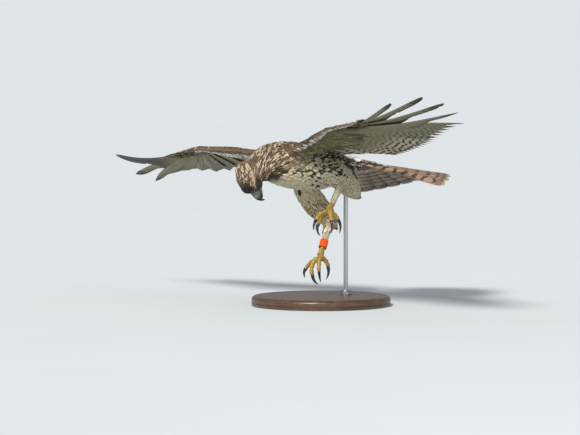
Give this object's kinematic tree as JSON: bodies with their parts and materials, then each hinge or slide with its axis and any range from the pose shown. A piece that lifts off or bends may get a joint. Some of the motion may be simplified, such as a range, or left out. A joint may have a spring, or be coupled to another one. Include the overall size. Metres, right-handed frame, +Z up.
{
  "type": "red-tailed hawk flight display model",
  "caption": "Life-size red-tailed hawk in flight, wings spread, tail fanned, legs down, one leg banded, held over a round base by a single rod.",
  "frame": {"origin": "centre of the stand base's bottom face, on the floor", "axes": "+Z up; the bird flies towards -X with its left side towards -Y, banked 10 degrees about a level line 32 degrees clockwise of +X"},
  "size_m": [0.4749, 1.1614, 0.443],
  "materials": {
    "streaked_feather": "brown and buff streaked head and neck feathers",
    "buff_feather": "pale buff body feathers with dark streaks",
    "wing_feather": "barred grey-brown flight feathers, brown above",
    "tail_feather": "rufous and grey-brown tail feathers with dark bars",
    "yellow_scale": "yellow scaled skin",
    "cere": "waxy greenish skin",
    "bill_horn": "grey horn, black at the tip",
    "claw_horn": "black horn",
    "eye": "glossy brown eye",
    "leg_band": "plain orange band",
    "stand_wood": "dark satin wood",
    "stand_steel": "satin steel"
  },
  "bodies": {
    "root": {"hawk_trunk": "buff_feather", "hawk_neck": "streaked_feather", "hawk_head": "streaked_feather", "hawk_eye_left": "eye", "hawk_eye_right": "eye", "hawk_cere": "cere", "hawk_bill_upper": "bill_horn", "hawk_bill_lower": "bill_horn", "hawk_wing_left": "wing_feather", "hawk_wing_right": "wing_feather", "hawk_tail": "tail_feather", "hawk_thigh_left": "buff_feather", "hawk_thigh_right": "buff_feather", "hawk_tarsus_left": "yellow_scale", "hawk_tarsus_right": "yellow_scale", "hawk_foot_left": "yellow_scale", "hawk_foot_right": "yellow_scale", "hawk_leg_band": "leg_band", "stand_base": "stand_wood", "stand_rod": "stand_steel", "stand_collar": "stand_steel", "hawk_claw_hallux_left": "claw_horn", "hawk_claw_inner_left": "claw_horn", "hawk_claw_middle_left": "claw_horn", "hawk_claw_outer_left": "claw_horn", "hawk_claw_hallux_right": "claw_horn", "hawk_claw_inner_right": "claw_horn", "hawk_claw_middle_right": "claw_horn", "hawk_claw_outer_right": "claw_horn"}
  },
  "joints": []
}
